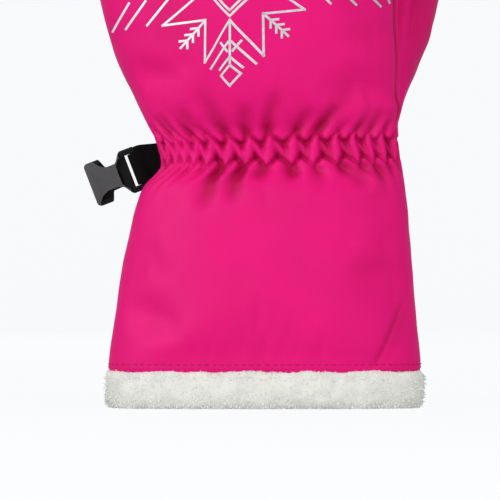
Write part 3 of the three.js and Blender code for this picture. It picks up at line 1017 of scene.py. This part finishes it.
def fur_band():
    """The trim's lumpy backing, with its points and the directions that the pile grows in."""
    points = fur_grid()
    rows, columns, _ = points.shape
    outward = unit(points - points.mean(0, keepdims=True))
    x, y, z = np.moveaxis(points, 2, 0)
    lumps = ripple(x, y, z, 6, 31) * 0.35 + ripple(x, y, z, 17, 32) * 0.45
    points = points + outward * lumps[:, :, None]
    points[..., 2] = np.maximum(points[..., 2], 0.35)
    faces = grid_faces(rows, columns, looped=True)
    return new_mesh("fur_band", points.reshape(-1, 3), faces, FUR_ROOT), points, outward


def fur_pile(points, outward):
    """Tapered tufts all over the band, combed loosely and longer than the gaps between them."""
    rows, columns, _ = points.shape
    parts = []
    for _ in range(TUFTS):
        r, c = rng.randrange(rows), rng.randrange(columns)
        spread_r, spread_c = rng.random(), rng.random()
        above, beside = (r + 1) % rows, (c + 1) % columns
        near = points[r, c] * (1 - spread_r) + points[above, c] * spread_r
        far = points[r, beside] * (1 - spread_r) + points[above, beside] * spread_r
        base = near * (1 - spread_c) + far * spread_c
        normal = outward[r, c]
        comb = np.array([rng.gauss(0, 0.4), rng.gauss(0, 0.4), rng.gauss(-0.3, 0.45)])
        comb += ripple(*base, 9, 41) * np.array([0.5, 0, 0.35])
        length = rng.uniform(0.8, 1.6) * (0.6 if base[2] > FUR_TOP - 3 else 1)
        middle = base + (normal + comb * 0.35) * length * 0.5
        end = base + (normal * 0.75 + comb) * length * 0.95
        middle[2], end[2] = max(middle[2], FUR_LOW + 0.1), max(end[2], FUR_LOW)
        width = rng.uniform(0.22, 0.4)
        aside = unit(np.cross(end - base, [rng.gauss(0, 1) for _ in range(3)])) * width
        other = unit(np.cross(end - base, aside)) * width
        ring = [aside, -0.5 * aside + 0.87 * other, -0.5 * aside - 0.87 * other]
        tuft = [base - normal * 0.3 + v for v in ring] + [middle + v * 0.8 for v in ring] + [end]
        faces = [(0, 1, 4, 3), (1, 2, 5, 4), (2, 0, 3, 5), (3, 4, 6), (4, 5, 6), (5, 3, 6)]
        parts.append((np.array(tuft), faces))
    return joined("fur_pile", parts, FUR)


band, band_points, band_outward = fur_band()
pile = fur_pile(band_points, band_outward)
# Light passes through the pile rather than stopping at every tuft.
pile.visible_shadow = False
pile.visible_diffuse = False


# ---------------------------------------------------------------- stitches


def stitch_row(name, spots, normals, length, material, thickness=0.5, sink=0.05):
    """Short raised stitches along a row of points on the cloth, their ends sunk into it."""
    parts = []
    distance = run_length(spots)
    pitch = length * 1.4
    arch = np.sin(np.linspace(0, math.pi, 6))[:, None]
    for k in range(int(distance[-1] / pitch)):
        along = np.linspace(k * pitch, k * pitch + length, 6)
        path = read_at(along, distance, spots)
        path = path + read_at(along, distance, normals) * (arch * (thickness * 0.9 + sink) - sink)
        parts.append(swept(path, thickness / 2 * (0.55 + 0.45 * arch[:, 0]), 6))
    return joined(name, parts, material)


def ring_at(height):
    """Points of the finished cover round the mitten at a height, and their normals."""
    row = int(np.argmin(np.abs(BODY_HEIGHTS - height)))
    normals = grid_normals(BODY[max(row - 2, 0) : row + 3])
    closed = np.concatenate([BODY[row], BODY[row][:1]])
    middle = normals[min(2, row)]
    return closed, np.concatenate([middle, middle[:1]])


hem_stitches = stitch_row("hem_stitches", *ring_at(HEM_STITCHES), 2.4, THREAD)


# ---------------------------------------------------------------- snowflake print


def star_strokes():
    """The snowflake's lines as pairs of points, in X and Z from its middle."""
    strokes = []

    def turned(x, z, angle):
        c, s = math.cos(angle), math.sin(angle)
        return (x * c - z * s, x * s + z * c)

    for eighth in range(8):
        angle = eighth * math.pi / 4
        straight = eighth % 2 == 0

        def line(x0, z0, x1, z1):
            """A line and, unless it lies on the axis, its mirror image."""
            for mirror in (1, -1) if x0 or x1 else (1,):
                strokes.append((turned(mirror * x0, z0, angle), turned(mirror * x1, z1, angle)))

        half = math.pi / 8
        notch = 14.6 if straight else 18.6
        point = (STAR_POINT * math.sin(half), -STAR_POINT * math.cos(half))
        line(0, -notch, *point)
        if eighth % 4 == 0:
            line(0, -notch, 0, -35)
            line(0.8, -24.5, 10.3, -35.5)
            line(4.6, -24.6, 1.3, -28.6)
            line(0, -31.2, 5.2, -36.6)
            line(0, -35, 4.5, -39.4)
            line(4.5, -39.4, 0, -44.4)
        elif not straight:
            line(0, -notch, 0, -34.6)
            for out in (23.2, 26.8, 30.4):
                line(0, -out, 2.4, -out - 2.4)
    return strokes


def emblem_strokes():
    """Two plain diamonds, one inside the other, in the middle of the snowflake."""
    strokes = []
    for radius in (12.8, 10.2):
        corners = [(radius, 0), (0, radius), (-radius, 0), (0, -radius)]
        strokes += [(corners[i], corners[(i + 1) % 4]) for i in range(4)]
    return strokes


def chevron_strokes():
    """Rows of slanting dashes on both sides of the snowflake, mirrored above and below its middle."""
    strokes = []
    for foot, low, head in RAYS:
        for up in (-1, 1):
            strokes.append(((foot, up * low), (head, up * 1.5)))
    return strokes


def draped(x):
    """The print is drawn a little to the thumb's side, except along its middle and at its far ends."""
    return x + 2.3 * (1 - math.exp(-((x / 9) ** 2))) * math.exp(-((x / 45) ** 4))


def foil_ribbons(name, strokes):
    """Printed lines laid on the cloth."""
    points, faces = [], []
    for (x0, z0), (x1, z1) in strokes:
        length = math.hypot(x1 - x0, z1 - z0)
        steps = max(2, int(length / 0.9))
        way = ((x1 - x0) / length, (z1 - z0) / length)
        aside = (-way[1] * FOIL_WIDTH / 2, way[0] * FOIL_WIDTH / 2)
        start = len(points)
        for k in range(steps + 1):
            along = (k / steps) * (length + FOIL_WIDTH) - FOIL_WIDTH / 2
            x = x0 + way[0] * along
            z = z0 + way[1] * along
            for xx, zz in ((x + aside[0], z + aside[1]), (x, z), (x - aside[0], z - aside[1])):
                height = STAR_Z + zz + STAR_SHEAR * xx
                points.append(dropped(body_tree, STAR_X + draped(xx), height, -1, FOIL_LIFT))
        for k in range(steps):
            a = start + 3 * k
            faces += [(a, a + 1, a + 4, a + 3), (a + 1, a + 2, a + 5, a + 4)]
    return new_mesh(name, np.array(points), faces, FOIL_PAINT)


print_foil = foil_ribbons("snowflake_foil", star_strokes() + emblem_strokes() + chevron_strokes())


# ---------------------------------------------------------------- grip patches


def rounded_rim(left, right, bottom, top, corner):
    """Points round a rectangle with rounded corners, in X and Z."""
    rim = []
    for cx, cz, start in ((right, top, 0), (left, top, 1), (left, bottom, 2), (right, bottom, 3)):
        cx += corner if cx == left else -corner
        cz += corner if cz == bottom else -corner
        for a in np.linspace(start, start + 1, 9) * math.pi / 2:
            rim.append((cx + corner * math.cos(a), cz + corner * math.sin(a)))
    return np.array(rim + rim[:1])


PATCH_LIFT = 0.9
PATCH_STEP = 1.6  # spacing of its points
PATCH_STITCHES = 2.4  # distance of its stitches from its rim
STITCH_LIFT = 0.6


def patch(name, tree, left, right, bottom, top, corner, hidden=None, limits=None):
    """A rounded leather patch on the palm's side, and the stitches round its rim."""
    across = np.linspace(left, right, round((right - left) / PATCH_STEP) + 1)
    up = np.linspace(bottom, top, round((top - bottom) / PATCH_STEP) + 1)
    points, faces = [], []

    def laid_on(x, z, lift):
        """A point of the patch on the cloth, drawn in where the cloth is narrower than the patch."""
        if limits:
            low, high = limits(z)
            low, high = max(low, left), min(high, right)
            x = low + (x - left) / (right - left) * (high - low)
        return dropped(tree, x, z, 1, lift)

    def clamp(x, z):
        """Pulls a corner point in to the rounded outline."""
        cx = min(max(x, left + corner), right - corner)
        cz = min(max(z, bottom + corner), top - corner)
        away = math.hypot(x - cx, z - cz)
        if away > corner:
            return cx + (x - cx) * corner / away, cz + (z - cz) * corner / away
        return x, z

    for z in up:
        for x in across:
            xx, zz = clamp(x, z)
            rim = min(xx - left, right - xx, zz - bottom, top - zz)
            # The rim is turned under, and the stitches pull a shallow channel just inside it.
            lift = PATCH_LIFT * (0.55 + 0.45 * min(1, max(0, rim) / 1.6))
            points.append(laid_on(xx, zz, lift - 0.3 * hump(rim, PATCH_STITCHES, 1)))
    wide = len(across)
    for i in range(len(up) - 1):
        for j in range(wide - 1):
            a = i * wide + j
            quad = (a + wide, a + wide + 1, a + 1, a)
            if hidden is None or not all(hidden(points[q]) for q in quad):
                faces.append(quad)
    leather = new_mesh(name + "_leather", np.array(points), faces, LEATHER)

    inset = PATCH_STITCHES
    corners = rounded_rim(left + inset, right - inset, bottom + inset, top - inset, corner - inset)
    length = run_length(corners)
    spots = read_at(np.arange(0, length[-1], 0.8), length, corners)
    laid = np.array([laid_on(x, z, STITCH_LIFT) for x, z in spots])
    # The row starts after the stretch that something hides, so that it is in one run.
    shown = [k for k, spot in enumerate(laid) if hidden is None or not hidden(spot)]
    gap = next((i + 1 for i, (a, b) in enumerate(zip(shown, shown[1:])) if b > a + 1), 0)
    order = shown[gap:] + shown[:gap]
    outward = np.array([laid_on(x, z, STITCH_LIFT + 1) for x, z in spots]) - laid
    return leather, stitch_row(name + "_stitches", laid[order], outward[order], 2.2, BLACK_THREAD)


def patch_box(node):
    """Left, right, bottom and top of a patch in the CAD."""
    low, high = node_box(node)
    return low[0], high[0], low[2], high[2]


def in_thumb(point, margin=3):
    """Whether a point is inside the thumb's outline by more than a margin."""
    cx, cy, width, depth = thumb_outline(point[2])
    return ((point[0] - cx) / (width - margin)) ** 2 + ((point[1] - cy) / (depth - margin)) ** 2 < 1


def thumb_limits(z):
    """How far across the thumb its patch can reach at a height."""
    cx, _, width, _ = thumb_outline(z)
    return cx - 0.84 * width, cx + 0.84 * width


palm_patch, palm_rim = patch("palm_patch", body_tree, *patch_box("palm_patch"), 16, in_thumb)
finger_patch, finger_rim = patch("finger_patch", body_tree, *patch_box("finger_patch"), 12)
thumb_patch, thumb_rim = patch("thumb_patch", thumb_tree, *patch_box("thumb_patch"), 10, limits=thumb_limits)


# ---------------------------------------------------------------- webbing tab and buckle

BAR = measure(hinges["buckle_swing"]["pos_m"])
TAB = measure(hinges["tab_swing"]["pos_m"])
ALONG = np.array(hinges["buckle_swing"]["axis"], float)
TO_PALM = np.array([0.0, 1.0, 0.0])
TO_MOUTH = np.cross(TO_PALM, ALONG)
TO_MOUTH *= -np.sign(TO_MOUTH[0])
WEB_WIDTH = 14.8
WEB_THICK = 1.15
WEB_HIDDEN = 9  # length of each leg inside the seam
BAR_RADIUS = 1.2
SOCKET_HALF = 10.3  # half of its width
SOCKET_MOUTH = 23.3  # from the bar to the mouth
SOCKET_WAIST = 5.6  # half of its width between the notches
SOCKET_THICK = 6.8
NOTCH = (8.4, 15.6)  # where the waist starts and ends, from the bar
RAIL = 2.1  # half of the frame's thickness beside the webbing


def on_bar(u, v, w):
    """A point from the bar: u to the mouth, v along the bar, w to the palm."""
    return BAR + np.outer(u, TO_MOUTH) + np.outer(v, ALONG) + np.outer(w, TO_PALM)


def webbing():
    """The strap: out of the seam, round the bar and back into the seam, as one thick folded band."""
    reach = float(np.linalg.norm(TAB - BAR)) + WEB_HIDDEN
    bend = BAR_RADIUS + 0.3
    turn = np.linspace(-math.pi / 2, math.pi / 2, 15)
    straight = np.linspace(-reach, 0, 46)[:-1]

    def pinch(u):
        """Half of the gap between the legs."""
        return bend * step_up(u, -5.5, 0) + 0.1

    inner = [(u, -pinch(u)) for u in straight]
    inner += [(bend * math.cos(a), bend * math.sin(a)) for a in turn]
    inner += [(u, pinch(u)) for u in reversed(straight)]
    inner = np.array(inner)
    way = np.gradient(inner, axis=0)
    normal = unit(np.stack([way[:, 1], -way[:, 0]], 1))
    half = WEB_WIDTH / 2
    profile = [(-half, 0.25), (-half, WEB_THICK - 0.25), (-half + 0.35, WEB_THICK)]
    profile += [(v, WEB_THICK) for v in np.linspace(-half + 1.2, half - 1.2, 9)]
    profile += [(half - 0.35, WEB_THICK), (half, WEB_THICK - 0.25), (half, 0.25), (half - 0.35, 0)]
    profile += [(v, 0) for v in np.linspace(half - 1.2, -half + 1.2, 9)] + [(-half + 0.35, 0)]
    points, uv = [], []
    for (u, w), (nu, nw), distance in zip(inner, normal, run_length(inner)):
        # Beyond the bar it spreads as wide as the buckle, and its upper edge runs level to the seam.
        spread = step_up(-u, BAR_RADIUS - 0.5, BAR_RADIUS - 0.1)
        above, beneath = spread * (2.6 - 2.6 * step_up(-u, 2, 15)), spread * 1.6
        for v, t in profile:
            shift = above * max(0, v / half) + beneath * min(0, v / half)
            points.append(on_bar([u + nu * t], [v + shift], [w + nw * t])[0])
            uv.append((v, distance))
    faces = [face[::-1] for face in grid_faces(len(inner), len(profile))]
    return new_mesh("webbing_strap", np.array(points), faces, WEBBING, uv)


def rounded_corner(u, radius, turn):
    """Points round one of the socket's outer corners, between two angles in quarter turns."""
    angles = np.linspace(*turn, 8) * math.pi / 2
    return [(u + radius * math.cos(a), SOCKET_HALF - radius + radius * math.sin(a)) for a in angles]


def socket_outline():
    """Half of the socket's plan, from the bar end to the mouth, with its rounded waist."""
    edge = rounded_corner(-BAR_RADIUS + 0.7, 0.7, (2, 1))
    start, end = NOTCH
    drop = SOCKET_HALF - SOCKET_WAIST
    for k in np.linspace(0, 1, 9):
        edge.append((start - 3.2 + 4.6 * k, SOCKET_HALF - drop * (1 - math.cos(math.pi * k)) / 2))
    for k in np.linspace(0.12, 1, 8):
        edge.append((end - 2.0 + 2.6 * k, SOCKET_HALF - drop * (1 + math.cos(math.pi * k)) / 2))
    return edge + rounded_corner(SOCKET_MOUTH - 1.9, 1.9, (1, 0))


def prism(name, plan, low, high):
    """A block with a plan in the bar's plane, between two depths."""
    n = len(plan)
    u, v = np.array([p[0] for p in plan]), np.array([p[1] for p in plan])
    points = np.concatenate([on_bar(u, v, np.full(n, low)), on_bar(u, v, np.full(n, high))])
    faces = [tuple(range(n)), tuple(range(2 * n - 1, n - 1, -1))]
    faces += [(i, i + n, (i + 1) % n + n, (i + 1) % n) for i in range(n)]
    obj = new_mesh(name, points, faces, BUCKLE_PAINTED_LIGHT)
    bm = bmesh.new()
    bm.from_mesh(obj.data)
    bmesh.ops.recalc_face_normals(bm, faces=bm.faces)
    bm.to_mesh(obj.data)
    bm.free()
    return obj


def rectangle(u0, u1, half):
    """A rectangle across the bar's middle, between two distances from it."""
    return [(u0, -half), (u1, -half), (u1, half), (u0, half)]


def cut(target, plan, low, high):
    """Takes a prism out of a piece."""
    cutter = prism("cutter", plan, low, high)
    modifier = target.modifiers.new("cut", "BOOLEAN")
    modifier.operation = "DIFFERENCE"
    modifier.solver = "EXACT"
    modifier.object = cutter
    apply_modifiers(target)
    bpy.data.objects.remove(cutter)


def buckle():
    """The socket, cut out of one block, and the bar that the webbing runs round."""
    upper = socket_outline()
    plan = upper + [(u, -v) for u, v in reversed(upper)]
    half = SOCKET_THICK / 2
    clear = half + 1
    slot_half = WEB_WIDTH / 2 + 0.15
    window = [(3.2, -7.1), (7.2, -7.1), (9.3, -4.3), (9.3, 4.3), (7.2, 7.1), (3.2, 7.1)]
    # The front plate is cut back at both notches, more on the lower side.
    lower_notch = [(11, -5), (16.5, -4.9), (19.4, -6.2), (21.5, -8.6), (22.6, -13), (11, -13)]
    upper_notch = [(11, 5), (14.6, 5.9), (16.6, 7.4), (18.2, 9.6), (18.6, 13), (11, 13)]
    body = prism("buckle_socket_body", plan, -half, half)
    for shape, low, high in (
        (rectangle(-6, 6.5, SOCKET_HALF + 2), -clear, -RAIL),
        (rectangle(-6, 6.5, SOCKET_HALF + 2), RAIL, clear),
        (rectangle(-6, 3.9, slot_half), -clear, clear),
        (window, -clear, 0.4),
        (rectangle(SOCKET_MOUTH - 14.5, SOCKET_MOUTH + 1, 8.2), -2.25, 2.25),
        (lower_notch, -clear, -1.9),
        (upper_notch, -clear, -1.9),
    ):
        cut(body, shape, low, high)
    bevel = body.modifiers.new("soft", "BEVEL")
    bevel.width = 0.45 * MM
    bevel.segments = 3
    bevel.limit_method = "ANGLE"
    bevel.angle_limit = math.radians(38)
    bevel.harden_normals = False
    apply_modifiers(body)
    body.data.materials.clear()
    for paint in (BUCKLE_PAINTED_LIGHT, BUCKLE_PAINTED_SHADE):
        body.data.materials.append(paint)
    # Painted light and shade: only the face of the front plate gets the lighter copy of the plastic; every
    # other face gets the near-black one.
    facing = -TO_PALM
    for polygon in smooth(body).data.polygons:
        from_bar = measure(polygon.center) - BAR
        on_plate = from_bar @ TO_MOUTH > 9.0 and from_bar @ facing > half - 0.6
        polygon.material_index = 0 if on_plate and np.array(polygon.normal) @ facing > 0.75 else 1
    bar_path = on_bar(np.zeros(9), np.linspace(-slot_half - 0.6, slot_half + 0.6, 9), np.zeros(9))
    bar = joined("buckle_bar", [swept(bar_path, BAR_RADIUS, 20)], BUCKLE_PAINTED_SHADE)
    return body, bar


strap = webbing()
socket, socket_bar = buckle()


# ---------------------------------------------------------------- what each piece rides on


THUMB_HINGE = measure(hinges["thumb_swing"]["pos_m"])
THUMB_WAY = unit(np.array([*THUMB_TIP_MIDDLE, THUMB_TIP]) - THUMB_HINGE)
TAB_WAY = unit(TAB - BAR)

# The pieces that span two bodies, each listed with both bodies and two points between them; each only has its
# placement baked into its points.
for first, second, ends, pieces in (
    ("cuff", "hand", [(0, 0, z) for z in WRIST_ZONE], (lower_cover, lower_lining)),
    ("hand", "fingers", [(0, 0, z) for z in FINGER_ZONE], (upper_cover, upper_lining)),
    ("hand", "fingers", [(0, 0, z) for z in FINGER_ZONE], (finger_patch, finger_rim, print_foil)),
    ("hand", "thumb", [THUMB_HINGE + THUMB_WAY * d for d in THUMB_ZONE], (thumb_cover, thumb_lining)),
    ("cuff", "tab", [TAB + TAB_WAY * d for d in TAB_ZONE], (strap,)),
):
    for piece in pieces:
        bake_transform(piece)

for body, pieces in (
    ("thumb", (thumb_patch, thumb_rim)),
    ("hand", (palm_patch, palm_rim)),
    ("cuff", (band, pile, hem_stitches)),
    ("buckle", (socket, socket_bar)),
):
    for piece in pieces:
        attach(piece, body)

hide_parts("cuff_shell_back", "cuff_shell_palm", "cuff_wadding", "wrist_elastic")
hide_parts("hand_shell_back", "hand_shell_palm", "finger_shell_back", "finger_shell_palm")
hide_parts("hand_wadding", "finger_wadding")
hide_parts("thumb_base_shell", "thumb_shell", "thumb_wadding")
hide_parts("cuff_lining", "hand_lining")
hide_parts("finger_lining")
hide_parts("thumb_lining")
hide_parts("fur_trim")
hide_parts("snowflake_print")
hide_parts("palm_patch")
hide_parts("finger_patch")
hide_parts("thumb_patch")
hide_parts("webbing_tab", "webbing_anchor")
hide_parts("buckle_socket")


# ---------------------------------------------------------------- stage, light and camera


def pale_stage(name, profile):
    """A round sheet from radii and heights in metres, lighting itself so that shadows on it stay faint."""
    turn = np.linspace(0, 2 * math.pi, 96, endpoint=False)
    points = measure([(r * math.cos(a), r * math.sin(a), z) for r, z in profile for a in turn])
    paint = Paint(name, (0.06, 0.06, 0.06), 1.0)
    paint.set(Emission_Color=(*linear(247, 248, 250), 1), Emission_Strength=0.98, Specular_IOR_Level=0.0)
    sheet = new_mesh(name, points, grid_faces(len(profile), len(turn)), paint.material)
    sheet.visible_diffuse = False
    sheet.visible_glossy = False
    return sheet


LIT_HEIGHT = 110  # the lights face this height, in the mitten's millimetres


def area_light(name, spot, size, power):
    """A square light, placed in metres, that faces the middle of the mitten."""
    data = bpy.data.lights.new(name, "AREA")
    data.size = size
    data.energy = power
    light = added(name, data)
    light.location = Vector(spot)
    way = Vector(place([0, 0, LIT_HEIGHT])) - light.location
    light.rotation_euler = way.to_track_quat("-Z", "Y").to_euler()
    return light


def camera():
    """Square on to the back of the hand, from far enough away that it is seen nearly in parallel."""
    data = bpy.data.cameras.new("camera")
    data.lens = 400
    data.sensor_width = 36
    distance = VIEW_WIDTH * MM / (data.sensor_width / data.lens)
    middle = place(VIEW_MIDDLE)
    data.clip_end = 20
    eye = added("camera", data)
    eye.location = (middle[0], middle[1] - distance, middle[2])
    eye.rotation_euler = (math.pi / 2, 0, 0)
    bpy.context.scene.camera = eye


FLOOR_RADIUS, SWEEP = 3.6, 0.8  # metres
pale_stage("floor", [(FLOOR_RADIUS, 0), (0.002, 0)])
# The floor sweeps up into a backdrop all round, which the world's light passes through.
rise = np.linspace(0, math.pi / 2, 14)
backdrop = [(FLOOR_RADIUS + SWEEP * math.sin(a), SWEEP * (1 - math.cos(a))) for a in rise]
pale_stage("backdrop", [(FLOOR_RADIUS + SWEEP, 5)] + backdrop[::-1]).visible_shadow = False
area_light("key", (-1.0, -1.15, 0.62), 0.7, 13.5)
# The other lights are too broad to show as highlights.
area_light("fill", (0.95, -1.3, 0.25), 1.2, 13).visible_glossy = False
area_light("back", (-0.7, 1.7, 0.9), 1.4, 9).visible_glossy = False
world = bpy.data.worlds.new("studio")
world.use_nodes = True
background = world.node_tree.nodes["Background"]
background.inputs["Color"].default_value = (0.95, 0.97, 1.0, 1)
background.inputs["Strength"].default_value = 0.44
bpy.context.scene.world = world
bpy.context.scene.view_settings.view_transform = "Standard"
camera()
